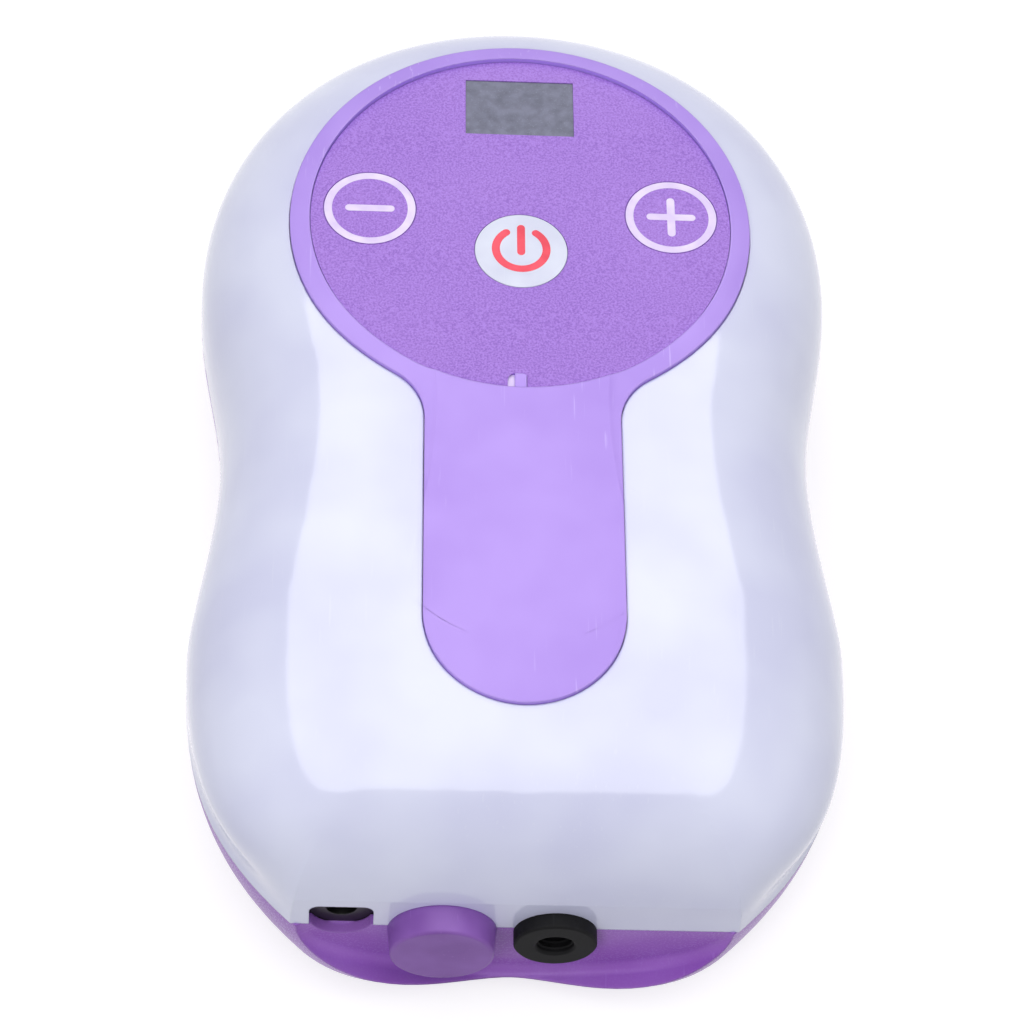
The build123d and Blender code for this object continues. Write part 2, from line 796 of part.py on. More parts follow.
# Diaphragm clamped on the frame, with the boss that the rod pushes
with BuildPart() as pump_diaphragm:
    add(footprint(frame_top_z, diaphragm_thickness))
    with BuildSketch(Plane.XY.offset(frame_top_z - 1.6)):
        with Locations((pump_x, piston_y)):
            Circle(3.0)
    extrude(amount=1.6)
write(pump_diaphragm.part, "pump_diaphragm")

valve_plate_z = frame_top_z + diaphragm_thickness
head_z = valve_plate_z + valve_plate_thickness
with BuildPart() as valve_plate:
    add(footprint(valve_plate_z, valve_plate_thickness))
    with BuildSketch(Plane.XY.offset(valve_plate_z)):
        with Locations((pump_x, piston_y)):
            Circle(piston_bore)
    extrude(amount=valve_plate_thickness / 2, mode=Mode.SUBTRACT)
    with BuildSketch(Plane.XY.offset(valve_plate_z)):
        with Locations((pump_x - 3.5, piston_y), (pump_x + 3.5, piston_y)):
            Circle(0.8)
    extrude(amount=valve_plate_thickness, mode=Mode.SUBTRACT)
write(valve_plate.part, "valve_plate")

with BuildPart() as pump_head:
    add(footprint(head_z, head_height))
    with BuildSketch(Plane.XY.offset(head_z)):
        with Locations((pump_x - 4, piston_y), (pump_x + 4, piston_y)):
            Rectangle(6.5, 12)
    extrude(amount=head_height / 2, mode=Mode.SUBTRACT)
    add(
        nipple(
            Plane(
                origin=(pump_x, frame_front_y, head_z + head_height / 2), x_dir=(1, 0, 0), z_dir=(0, -1, 0)
            ),
            nipple_length,
        )
    )
write(pump_head.part, "pump_head")

with BuildPart() as pump_screws:
    with BuildSketch(Plane.XY.offset(head_z + head_height)):
        with Locations((pump_x, (frame_front_y + motor_front_y) / 2)):
            with GridLocations(*head_screw_spacing, 2, 2):
                Circle(small_head_radius)
    extrude(amount=small_head_height)
    with BuildSketch(Plane.XY.offset(head_z + head_height)):
        with Locations((pump_x, (frame_front_y + motor_front_y) / 2)):
            with GridLocations(*head_screw_spacing, 2, 2):
                Circle(small_screw_radius)
    extrude(amount=-head_height - valve_plate_thickness - diaphragm_thickness - 8)
write(pump_screws.part, "pump_screws")

# Rubber mounts under the pump and a rubber cradle under the motor
with BuildPart() as pump_mounts:
    with BuildSketch(Plane.XY.offset(floor_z)):
        with Locations((pump_x, (frame_front_y + motor_front_y) / 2)):
            with GridLocations(20, 18, 2, 2):
                Circle(3.0)
    extrude(amount=frame_low_z - floor_z)
write(pump_mounts.part, "pump_mounts")
with BuildPart() as motor_cradle:
    with BuildSketch(Plane.XY.offset(floor_z)):
        with Locations((pump_x, motor_front_y + motor_length / 2 + 2)):
            RectangleRounded(20, 14, 1.5)
    extrude(amount=shaft_z - motor_radius / 2 - floor_z)
    with BuildSketch(shaft_plane(motor_front_y)):
        Circle(motor_radius + running_gap)
    extrude(amount=motor_length, mode=Mode.SUBTRACT)
write(motor_cradle.part, "motor_cradle")

# Vent valve: coil block with a sprung plunger, and a nipple facing forward
valve_x, valve_y = valve_middle
valve_face_x = valve_x + valve_size[0] / 2
valve_axis_z = floor_z + valve_size[2] / 2


def plunger_plane(x):
    # Plane across the plunger's axis, facing right
    return Plane(origin=(x, valve_y, valve_axis_z), x_dir=(0, 1, 0), z_dir=(1, 0, 0))


plunger_inside = 10.0
spring_room = 2.4
with BuildPart() as vent_valve:
    with BuildSketch(Plane.XY.offset(floor_z)):
        with Locations(valve_middle):
            RectangleRounded(valve_size[0], valve_size[1], 1.0)
    extrude(amount=valve_size[2])
    with BuildSketch(plunger_plane(valve_face_x)):
        Circle(plunger_radius + running_gap)
    extrude(amount=-plunger_inside - 2 * plunger_travel, mode=Mode.SUBTRACT)
    add(
        nipple(
            Plane(
                origin=(valve_x + 4, valve_y - valve_size[1] / 2, valve_axis_z),
                x_dir=(1, 0, 0),
                z_dir=(0, -1, 0),
            ),
            nipple_length,
        )
    )
write(vent_valve.part, "vent_valve")
with BuildPart() as valve_plunger:
    with BuildSketch(plunger_plane(valve_face_x - plunger_inside)):
        Circle(plunger_radius)
    extrude(amount=plunger_inside + spring_room)
    with BuildSketch(plunger_plane(valve_face_x + spring_room)):
        Circle(plunger_radius + 1.4)
    extrude(amount=1.0)
write(valve_plunger.part, "valve_plunger")
with BuildPart() as valve_spring:
    with BuildSketch(plunger_plane(valve_face_x)):
        Circle(plunger_radius + 0.9)
        Circle(plunger_radius + 0.3, mode=Mode.SUBTRACT)
    extrude(amount=spring_room)
write(valve_spring.part, "valve_spring")

# Air manifold: spigots into the tails of both outlets, hose nipples at the back
manifold_front = wall + tail_length + fit_gap
with BuildPart() as air_manifold:
    with BuildSketch(port_plane(manifold_front)):
        with Locations((manifold_x, port_z)):
            RectangleRounded(manifold_size[0], manifold_size[2], 1.5)
    extrude(amount=-manifold_size[1])
    with BuildSketch(port_plane(manifold_front)):
        with Locations((outlet_x, port_z), (capped_outlet_x, port_z)):
            Circle(spigot_radius)
    extrude(amount=spigot_reach)
    with BuildSketch(port_plane(manifold_front - spigot_reach)):
        with Locations((outlet_x, port_z), (capped_outlet_x, port_z)):
            Circle(nipple_radius)
    extrude(amount=-spigot_reach - manifold_size[1] / 2, mode=Mode.SUBTRACT)
    for nipple_x in manifold_nipples.values():
        add(
            nipple(
                Plane(
                    origin=(nipple_x, panel_y + manifold_front + manifold_size[1], port_z),
                    x_dir=(-1, 0, 0),
                    z_dir=(0, 1, 0),
                ),
                nipple_length,
            )
        )
write(air_manifold.part, "air_manifold")

# Silicone tubes, each pushed over a nipple at both ends
manifold_back_y = panel_y + manifold_front + manifold_size[1]
head_nipple_z = head_z + head_height / 2
sensor_top_z = board_face_z + 5
tube_routes = {
    "pump_tube": (
        7.0,
        (pump_x, frame_front_y - 1, head_nipple_z),
        (pump_x, -36, head_nipple_z),
        (manifold_nipples["pump"], -58, port_z),
        (manifold_nipples["pump"], manifold_back_y + 1, port_z),
    ),
    "sensor_tube": (
        6.0,
        (sensor_place[0], sensor_place[1], sensor_top_z + 0.5),
        (sensor_place[0], sensor_place[1], 33),
        (manifold_nipples["sensor"], 4, 33),
        (manifold_nipples["sensor"], -46, 33),
        (manifold_nipples["sensor"], -64, port_z),
        (manifold_nipples["sensor"], manifold_back_y + 1, port_z),
    ),
    "valve_tube": (
        4.0,
        (valve_x + 4, valve_y - valve_size[1] / 2 - 1, valve_axis_z),
        (valve_x + 4, valve_y - valve_size[1] / 2 - 11, valve_axis_z),
        (manifold_nipples["valve"], manifold_back_y + 11, port_z),
        (manifold_nipples["valve"], manifold_back_y + 1, port_z),
    ),
}
for tube_name, (bend_radius, *corners) in tube_routes.items():
    with BuildPart() as tube:
        with BuildLine() as route:
            FilletPolyline(*corners, radius=bend_radius)
        with BuildSketch(Plane(origin=route.line @ 0, z_dir=route.line % 0)):
            Circle(nipple_radius + running_gap + tube_wall)
            Circle(nipple_radius + running_gap, mode=Mode.SUBTRACT)
        sweep(path=route.line)
    write(tube.part, tube_name)
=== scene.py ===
import json
import math

import bmesh
import bpy
from mathutils import Matrix, Vector
from mathutils.kdtree import KDTree


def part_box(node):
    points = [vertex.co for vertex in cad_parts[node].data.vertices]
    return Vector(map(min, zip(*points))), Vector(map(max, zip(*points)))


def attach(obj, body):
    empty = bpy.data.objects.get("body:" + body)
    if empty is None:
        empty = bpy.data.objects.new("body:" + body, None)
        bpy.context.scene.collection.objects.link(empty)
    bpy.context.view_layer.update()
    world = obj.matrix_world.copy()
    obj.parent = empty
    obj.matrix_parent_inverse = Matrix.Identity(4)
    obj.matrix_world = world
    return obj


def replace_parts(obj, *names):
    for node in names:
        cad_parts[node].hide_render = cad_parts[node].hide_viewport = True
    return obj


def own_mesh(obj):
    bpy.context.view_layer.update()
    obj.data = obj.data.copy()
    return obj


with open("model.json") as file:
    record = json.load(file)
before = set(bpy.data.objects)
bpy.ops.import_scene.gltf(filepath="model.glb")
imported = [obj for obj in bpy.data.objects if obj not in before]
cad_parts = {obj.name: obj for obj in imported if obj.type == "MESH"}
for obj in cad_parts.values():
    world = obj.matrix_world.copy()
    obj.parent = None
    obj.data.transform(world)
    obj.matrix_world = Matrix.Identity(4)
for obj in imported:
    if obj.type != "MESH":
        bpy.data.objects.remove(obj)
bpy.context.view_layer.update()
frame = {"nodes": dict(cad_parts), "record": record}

nodes = frame["nodes"]
mm = 0.001
print("frame loaded with", len(nodes), "nodes")

# Camera: azimuth 0 looks along +Y, angles in degrees, places in metres, lens and sensor in mm
camera = {
    "azimuth": -5.377,
    "elevation": 56.823,
    "roll": -6.021,
    "lens": 120.17,
    "sensor": 36,
    "nearest": 0.01,
    "place": (-0.035268, -0.380075, 0.59607),
}


def aimCamera(look):
    turn, rise, roll = (math.radians(look[angle]) for angle in ("azimuth", "elevation", "roll"))
    back = Vector((math.sin(turn) * math.cos(rise), -math.cos(turn) * math.cos(rise), math.sin(rise)))
    level = Vector((math.cos(turn), math.sin(turn), 0))
    upright = back.cross(level)
    right = level * math.cos(roll) - upright * math.sin(roll)
    up = level * math.sin(roll) + upright * math.cos(roll)
    turned = Matrix((right, up, back)).transposed().to_4x4()
    turned.translation = look["place"]
    data = bpy.data.cameras.new("camera")
    data.lens = look["lens"]
    data.sensor_width = look["sensor"]
    data.clip_start = look["nearest"]
    rig = bpy.data.objects.new("camera", data)
    rig.matrix_world = turned
    bpy.context.scene.collection.objects.link(rig)
    bpy.context.scene.camera = rig


aimCamera(camera)


class Flow:
    # a value on its way through a node tree: maths on it adds Math nodes

    def __init__(self, bench, socket):
        self.bench = bench
        self.socket = socket

    def other(self, name):
        # another output of the node that this value comes from
        return Flow(self.bench, self.socket.node.outputs[name])

    def maths(self, operation, first, second=0.0):
        return self.bench.add("ShaderNodeMath", {"operation": operation}, {0: first, 1: second})

    def __add__(self, other):
        return self.maths("ADD", self, other)

    __radd__ = __add__

    def __sub__(self, other):
        return self.maths("SUBTRACT", self, other)

    def __rsub__(self, other):
        return self.maths("SUBTRACT", other, self)

    def __mul__(self, other):
        return self.maths("MULTIPLY", self, other)

    __rmul__ = __mul__

    def __truediv__(self, other):
        return self.maths("DIVIDE", self, other)


class Bench:
    # a node tree being built

    def __init__(self, tree):
        self.tree = tree
        tree.nodes.clear()

    def add(self, kind, settings, inputs, output=0):
        # settings come before inputs, and a list of links all go into one socket
        node = self.tree.nodes.new(kind)
        for name, value in settings.items():
            if name == "stops":
                for element, (position, shade) in zip(node.color_ramp.elements, value):
                    element.position = position
                    element.color = (shade, shade, shade, 1)
            else:
                setattr(node, name, value)
        for name, value in inputs.items():
            for part in value if isinstance(value, list) else [value]:
                if isinstance(part, Flow):
                    self.tree.links.new(part.socket, node.inputs[name])
                else:
                    node.inputs[name].default_value = part
        return Flow(self, node.outputs[output]) if output is not None else None


class Paint(Bench):
    # one material and its tree

    def __init__(self, name):
        self.material = bpy.data.materials.new(name)
        self.material.use_nodes = True
        super().__init__(self.material.node_tree)
        self.place = self.add("ShaderNodeTexCoord", {}, {}, "Object")

    def noise(self, scale, detail=3.0, place=None):
        inputs = {"Vector": place or self.place, "Scale": scale, "Detail": detail}
        return self.add("ShaderNodeTexNoise", {}, inputs, "Fac")

    def between(self, value, low, high):
        # 0 below low, 1 above high, and a ramp between them
        return self.add("ShaderNodeValToRGB", {"stops": ((low, 0), (high, 1))}, {"Fac": value})

    def blend(self, share, first, second):
        # colour that goes from the first to the second with the share
        inputs = {0: share, 6: asColour(first), 7: asColour(second)}
        return self.add("ShaderNodeMix", {"data_type": "RGBA"}, inputs, 2)

    def bump(self, height, depth, normal=None):
        inputs = {"Height": height, "Distance": depth, "Strength": 1.0}
        if normal:
            inputs["Normal"] = normal
        return self.add("ShaderNodeBump", {}, inputs)

    def stretched(self, amounts, turn=0.0):
        # the piece's own coordinates, scaled and turned about its height
        inputs = {"Vector": self.place, "Scale": amounts, "Rotation": (0, 0, turn)}
        return self.add("ShaderNodeMapping", {}, inputs)

    def finish(self, inputs):
        surface = self.add("ShaderNodeBsdfPrincipled", {}, inputs)
        self.add("ShaderNodeOutputMaterial", {}, {"Surface": surface}, None)
        return self.material


def asColour(value):
    return value if isinstance(value, Flow) or len(value) == 4 else (*value, 1)


def linear(red, green, blue):
    # screen colour, 0 to 255, as the linear one that a shader takes
    shares = (part / 255 for part in (red, green, blue))
    return tuple(part / 12.92 if part < 0.0405 else ((part + 0.055) / 1.055) ** 2.4 for part in shares)


# Moulded plastics and rubbers: noise is in lumps per metre, depths and edges are in metres
# the lighter edge-and-scratch colour goes on scratches, which is wear, and on the edges, where it is a painted
# rim highlight as well as rubbed wear
moulded = {
    "whiteShell": {
        "colour": linear(224, 227, 250), "deep": linear(212, 214, 242), "wornAndHighlight": linear(238, 240, 253),
        "roughness": 0.07, "shine": 0.36, "ripple": 90, "rippleDepth": 0.000006, "grain": 2400,
        "grainDepth": 0.0000006, "scratches": 0.12, "specks": 0.10, "edge": 0.0005,
    },
    "purpleShell": {
        "colour": linear(166, 114, 206), "deep": linear(152, 96, 192), "wornAndHighlight": linear(194, 152, 232),
        "roughness": 0.24, "shine": 0.15, "ripple": 120, "rippleDepth": 0.000004, "grain": 2600,
        "grainDepth": 0.0000005, "scratches": 0.15, "specks": 0.05, "edge": 0.0006,
    },
    "lilacPanel": {
        "colour": linear(188, 156, 244), "deep": linear(178, 145, 236), "wornAndHighlight": linear(210, 186, 252),
        "roughness": 0.26, "shine": 0.12, "ripple": 110, "rippleDepth": 0.000005, "grain": 2800,
        "grainDepth": 0.0000012, "scratches": 0.55, "specks": 0.12, "edge": 0.0004,
    },
    "purpleCap": {
        "colour": linear(140, 94, 180), "deep": linear(126, 80, 164), "wornAndHighlight": linear(176, 136, 216),
        "roughness": 0.38, "shine": 0.2, "ripple": 260, "rippleDepth": 0.000008, "grain": 3000,
        "grainDepth": 0.000004, "scratches": 0.20, "specks": 0.15, "edge": 0.0007,
    },
    "whiteKey": {
        "colour": linear(222, 226, 244), "deep": linear(212, 215, 236), "wornAndHighlight": linear(236, 238, 250),
        "roughness": 0.42, "shine": 0.15, "ripple": 300, "rippleDepth": 0.000002, "grain": 3600,
        "grainDepth": 0.000006, "scratches": 0.10, "specks": 0.20, "edge": 0.0002,
    },
    "blackRubber": {
        "colour": linear(20, 20, 22), "deep": linear(14, 14, 16), "wornAndHighlight": linear(44, 44, 46),
        "roughness": 0.62, "shine": 0.12, "ripple": 400, "rippleDepth": 0.000012, "grain": 3200,
        "grainDepth": 0.000006, "scratches": 0.25, "specks": 0.45, "edge": 0.0005,
    },
    "footRubber": {
        "colour": linear(44, 44, 46), "deep": linear(32, 32, 34), "wornAndHighlight": linear(74, 74, 76),
        "roughness": 0.68, "ripple": 500, "rippleDepth": 0.000015, "grain": 2600,
        "grainDepth": 0.00001, "scratches": 0.20, "specks": 0.60, "edge": 0.0004,
    },
    "blackPlastic": {
        "colour": linear(20, 20, 19), "deep": linear(12, 12, 12), "wornAndHighlight": linear(48, 48, 48),
        "roughness": 0.34, "ripple": 300, "rippleDepth": 0.000006, "grain": 3400,
        "grainDepth": 0.000004, "scratches": 0.20, "specks": 0.30, "edge": 0.0003,
    },
    "pumpPlastic": {
        "colour": linear(62, 62, 64), "deep": linear(48, 48, 50), "wornAndHighlight": linear(96, 96, 98),
        "roughness": 0.46, "ripple": 240, "rippleDepth": 0.00001, "grain": 2200,
        "grainDepth": 0.000006, "scratches": 0.15, "specks": 0.20, "edge": 0.0004,
    },
    "siliconeTube": {
        "colour": linear(222, 222, 214), "deep": linear(204, 204, 196), "wornAndHighlight": linear(236, 236, 230),
        "roughness": 0.32, "coat": 0.20, "ripple": 160, "rippleDepth": 0.00001, "grain": 1800,
        "grainDepth": 0.000003, "scratches": 0.05, "specks": 0.35, "edge": 0.0003,
    },
    "whiteInk": {
        "colour": linear(236, 222, 250), "deep": linear(222, 204, 244), "wornAndHighlight": linear(246, 238, 255),
        "roughness": 0.40, "shine": 0.15, "ripple": 600, "rippleDepth": 0.000002, "grain": 3600,
        "grainDepth": 0.000005, "scratches": 0.10, "specks": 0.10, "edge": 0.0001,
    },
    "redInk": {
        "colour": linear(244, 78, 98), "deep": linear(228, 60, 82), "wornAndHighlight": linear(252, 120, 132),
        "roughness": 0.40, "shine": 0.15, "ripple": 600, "rippleDepth": 0.000002, "grain": 3600,
        "grainDepth": 0.000005, "scratches": 0.10, "specks": 0.10, "edge": 0.0001,
    },
}


# What all mouldings share: ramps run from one value of the noise to another, shares are 0 to 1
wear = {
    "cloudScale": 0.4, "cloudRamp": (0.35, 0.65), "streaks": (1400, 60, 1400), "streakTurn": 0.7,
    "scratchRamp": (0.68, 0.74), "scratchPatch": (0.45, 0.6), "scratchRough": 0.4, "speckScale": 0.45,
    # the edge ramp and share lighten the rims: a painted highlight along the edges together with rubbed wear
    "speckRamp": (0.76, 0.82), "speckRough": 0.1, "edgeWearAndHighlightRamp": (0.03, 0.35), "edgeWearAndHighlightShare": 0.5,
    "edgeSamples": 4, "grainRough": 0.06, "coat": 0.0, "coatRoughness": 0.08, "shine": 0.5,
}


def mouldedFinish(name, look):
    paint = Paint(name)
    cloud = paint.noise(look["ripple"] * wear["cloudScale"], 2)
    ripple = paint.noise(look["ripple"], 2)
    grain = paint.noise(look["grain"], 4)
    streak = paint.noise(1.0, 1, paint.stretched(wear["streaks"], wear["streakTurn"]))
    scratch = paint.between(streak, *wear["scratchRamp"]) * paint.between(cloud, *wear["scratchPatch"])
    speck = paint.between(paint.noise(look["grain"] * wear["speckScale"], 1), *wear["speckRamp"])
    rounded = paint.add("ShaderNodeBevel", {"samples": wear["edgeSamples"]}, {"Radius": look["edge"]})
    plain = paint.add("ShaderNodeNewGeometry", {}, {}, "Normal")
    dot = {"operation": "DOT_PRODUCT"}
    facing = paint.add("ShaderNodeVectorMath", dot, {0: rounded, 1: plain}, "Value")
    # rims found from the bevel are lightened: a painted highlight along the edges as well as rubbed wear
    edge = paint.between(1 - facing, *wear["edgeWearAndHighlightRamp"])
    colour = paint.blend(paint.between(cloud, *wear["cloudRamp"]), look["colour"], look["deep"])
    colour = paint.blend(edge * wear["edgeWearAndHighlightShare"], colour, look["wornAndHighlight"])
    colour = paint.blend(scratch * look["scratches"], colour, look["wornAndHighlight"])
    colour = paint.blend(speck * look["specks"], colour, look["deep"])
    dulled = scratch * look["scratches"] * wear["scratchRough"]
    roughness = look["roughness"] + grain * wear["grainRough"] + dulled + speck * wear["speckRough"]
    height = ripple * look["rippleDepth"] + grain * look["grainDepth"]
    return paint.finish({
        "Base Color": colour,
        "Roughness": roughness,
        "Coat Weight": look.get("coat", wear["coat"]),
        "Coat Roughness": wear["coatRoughness"],
        "Specular IOR Level": look.get("shine", wear["shine"]),
        "Normal": paint.bump(height, 1.0, rounded),
    })


# Keypad film: fine mottled grain of back-printed polycarbonate
film = {
    "colour": linear(168, 126, 220), "dark": linear(142, 98, 198), "light": linear(190, 150, 236),
    "speckle": 2300, "speckleRamp": (0.36, 0.62), "speckleShare": 0.6,
    "weave": 5200, "weaveRamp": (0.52, 0.72), "weaveShare": 0.4, "weaveLight": 0.55, "weaveRough": 0.12,
    "drift": 30, "driftRamp": (0.4, 0.7), "driftLight": 0.15,
    "depth": 0.000007, "roughness": 0.44, "shine": 0.12,
}


def filmFinish(name, look):
    paint = Paint(name)
    coarse = paint.noise(look["speckle"], 2)
    fine = paint.noise(look["weave"], 2)
    drift = paint.noise(look["drift"], 2)
    colour = paint.blend(paint.between(coarse, *look["speckleRamp"]), look["dark"], look["colour"])
    colour = paint.blend(paint.between(fine, *look["weaveRamp"]) * look["weaveLight"], colour, look["light"])
    colour = paint.blend(paint.between(drift, *look["driftRamp"]) * look["driftLight"], colour, look["light"])
    height = coarse * look["speckleShare"] + fine * look["weaveShare"]
    return paint.finish({
        "Base Color": colour,
        "Roughness": look["roughness"] + fine * look["weaveRough"],
        "Specular IOR Level": look["shine"],
        "Normal": paint.bump(height, look["depth"]),
    })


# Metals: marks are the tool's lines per metre along each direction
metals = {
    "zincSteel": {
        "colour": (0.58, 0.58, 0.60), "dull": (0.40, 0.40, 0.42), "roughness": 0.24,
        "marks": (300, 4000, 4000),
    },
    "motorSteel": {
        "colour": (0.50, 0.50, 0.50), "dull": (0.32, 0.32, 0.33), "roughness": 0.32,
        "marks": (2500, 80, 2500),
    },
    "turnedBrass": {
        "colour": (0.66, 0.46, 0.17), "dull": (0.42, 0.27, 0.09), "roughness": 0.26,
        "marks": (3000, 3000, 3000),
    },
    "canAluminium": {
        "colour": (0.72, 0.72, 0.74), "dull": (0.50, 0.50, 0.52), "roughness": 0.22,
        "marks": (2000, 2000, 90),
    },
}
tarnish = {"haze": 220, "hazeRamp": (0.4, 0.68), "hazeRough": 0.1, "markRough": 0.12, "markDepth": 0.000003}


def metalFinish(name, look):
    paint = Paint(name)
    marks = paint.noise(1.0, 3, paint.stretched(look["marks"]))
    haze = paint.noise(tarnish["haze"], 3)
    colour = paint.blend(paint.between(haze, *tarnish["hazeRamp"]), look["colour"], look["dull"])
    roughness = look["roughness"] + marks * tarnish["markRough"] + haze * tarnish["hazeRough"]
    return paint.finish({
        "Base Color": colour,
        "Metallic": 1.0,
        "Roughness": roughness,
        "Normal": paint.bump(marks, tarnish["markDepth"]),
    })


# Circuit boards: solder mask over copper tracks, with pads
board = {
    "mask": (0.012, 0.105, 0.040), "copper": (0.030, 0.190, 0.075), "pad": (0.62, 0.60, 0.52),
    "track": 420, "trackRamp": (0.05, 0.08), "padRamp": (0.10, 0.14), "padMetal": 0.8,
    "grain": 1500, "grainRough": 0.12, "roughness": 0.32, "depth": 0.00003,
}


def boardFinish(name, look):
    paint = Paint(name)
    inputs = {"Vector": paint.place, "Scale": look["track"]}
    cells = paint.add("ShaderNodeTexVoronoi", {"feature": "DISTANCE_TO_EDGE"}, inputs, "Distance")
    dots = paint.add("ShaderNodeTexVoronoi", {}, inputs, "Distance")
    track = 1 - paint.between(cells, *look["trackRamp"])
    pad = 1 - paint.between(dots, *look["padRamp"])
    colour = paint.blend(track, look["mask"], look["copper"])
    colour = paint.blend(pad, colour, look["pad"])
    return paint.finish({
        "Base Color": colour,
        "Metallic": pad * look["padMetal"],
        "Roughness": look["roughness"] + paint.noise(look["grain"]) * look["grainRough"],
        "Normal": paint.bump(track + pad, look["depth"]),
    })


# Display window: mottled grey pane with a faint darker band, whose edges are ramps in metres
pane = {
    "colour": linear(112, 114, 136), "dark": linear(88, 91, 110), "light": linear(148, 150, 168),
    "mottle": 420, "mottleRamp": (0.35, 0.7), "mottleRough": 0.15,
    "dust": 3000, "dustRamp": (0.6, 0.75), "dustShare": 0.4,
    "bandStart": (0.0018, 0.0024), "bandEnd": (0.0030, 0.0036), "bandShare": 0.35,
    "roughness": 0.24, "shine": 0.15, "depth": 0.00001,
}
rampMiddle = 0.5  # a ramp takes 0 to 1, so heights are read about its middle


def paneFinish(name, look, middle):
    paint = Paint(name)
    mottle = paint.noise(look["mottle"], 4)
    dust = paint.between(paint.noise(look["dust"], 2), *look["dustRamp"])
    along = paint.add("ShaderNodeSeparateXYZ", {}, {"Vector": paint.place}, "Y") - middle.y + rampMiddle
    start = paint.between(along, *(rampMiddle + edge for edge in look["bandStart"]))
    end = paint.between(along, *(rampMiddle + edge for edge in look["bandEnd"]))
    colour = paint.blend(paint.between(mottle, *look["mottleRamp"]), look["colour"], look["dark"])
    colour = paint.blend(start * (1 - end) * look["bandShare"], colour, look["dark"])
    colour = paint.blend(dust * look["dustShare"], colour, look["light"])
    return paint.finish({
        "Base Color": colour,
        "Roughness": look["roughness"] + mottle * look["mottleRough"],
        "Specular IOR Level": look["shine"],
        "Normal": paint.bump(mottle, look["depth"]),
    })


windowLow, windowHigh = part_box("display_window")
finishes = {name: mouldedFinish(name, look) for name, look in moulded.items()}
finishes.update({name: metalFinish(name, look) for name, look in metals.items()})
finishes["keypadFilm"] = filmFinish("keypadFilm", film)
finishes["circuitBoard"] = boardFinish("circuitBoard", board)
finishes["displayPane"] = paneFinish("displayPane", pane, (windowLow + windowHigh) / 2)
print("finishes made:", len(finishes))

# Which finish each material slot of the model wears
slotFinish = {
    "white_shell": "whiteShell", "purple_shell": "purpleShell", "lilac_panel": "lilacPanel",
    "keypad_film": "keypadFilm", "white_key": "whiteKey", "display_glass": "displayPane",
    "purple_cap": "purpleCap", "black_rubber": "blackRubber", "foot_rubber": "footRubber",
    "black_plastic": "blackPlastic", "steel": "zincSteel", "green_board": "circuitBoard",
    "capacitor_can": "canAluminium", "motor_steel": "motorSteel", "brass": "turnedBrass",
    "pump_plastic": "pumpPlastic", "clear_silicone": "siliconeTube",
}


def dress(piece, finish):
    # the mesh stays as it is, only its material slots change
    if not piece.material_slots:
        piece.data.materials.append(finishes[finish])
    for place in piece.material_slots:
        place.material = finishes[finish]


for part in frame["record"]["subparts"]:
    dress(nodes[part["node"]], slotFinish[part["material_slot"]])
print("nodes dressed")


def addPiece(name, mesh, finish, body):
    # a finished mesh becomes a piece that rides on a body
    mesh.materials.clear()
    mesh.materials.append(finishes[finish])
    piece = bpy.data.objects.new(name, mesh)
    bpy.context.scene.collection.objects.link(piece)
    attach(piece, body)
    return piece


def meshOf(thing):
    # plain mesh of an evaluated object, which is then taken away
    bpy.context.view_layer.update()
    mesh = bpy.data.meshes.new_from_object(thing.evaluated_get(bpy.context.evaluated_depsgraph_get()))
    bpy.data.objects.remove(thing)
    return mesh


# Crown: the mouldings run into their flat top on one curve, with no step round it
crown = {
    "fall": 0.504 * mm, "reach": 12.8 * mm, "keep": 5.0 * mm,  # how far the curve drops, and over which width
    "flat": 0.004 * mm, "depth": 1.1 * mm, "spacing": 0.4 * mm,  # the top, what is near it, points on its rim
    "step": 0.42 * mm, "behind": -45.0 * mm,  # deeper steps and what lies further back stay as they are
    "fold": 0.6 * mm, "foldDepth": 0.462 * mm,  # narrow folds right at the rim
    "steep": 0.08, "level": 0.8, "under": 0.05,  # upward part of a normal
    "merge": 0.0001 * mm, "same": 0.001 * mm,
}


def treeOf(points):
    tree = KDTree(len(points))
    for place, point in enumerate(points):
        tree.insert(point, place)
    tree.balance()
    return tree


def sameNormals(mesh, corners):
    # each corner of the merged mesh takes the old normal at its place that suits its face best
    tree = treeOf([point for point, normal in corners])
    near = [
        [corners[place][1] for point, place, gap in tree.find_range(vertex.co, crown["same"])]
        for vertex in mesh.vertices
    ]
    normals = []
    for face in mesh.polygons:
        normals.extend(max(near[place], key=face.normal.dot) for place in face.vertices)
    return normals


def eased(value):
    # 0 to 1 with no kink at either end
    value = min(max(value, 0.0), 1.0)
    return value * value * (3 - 2 * value)


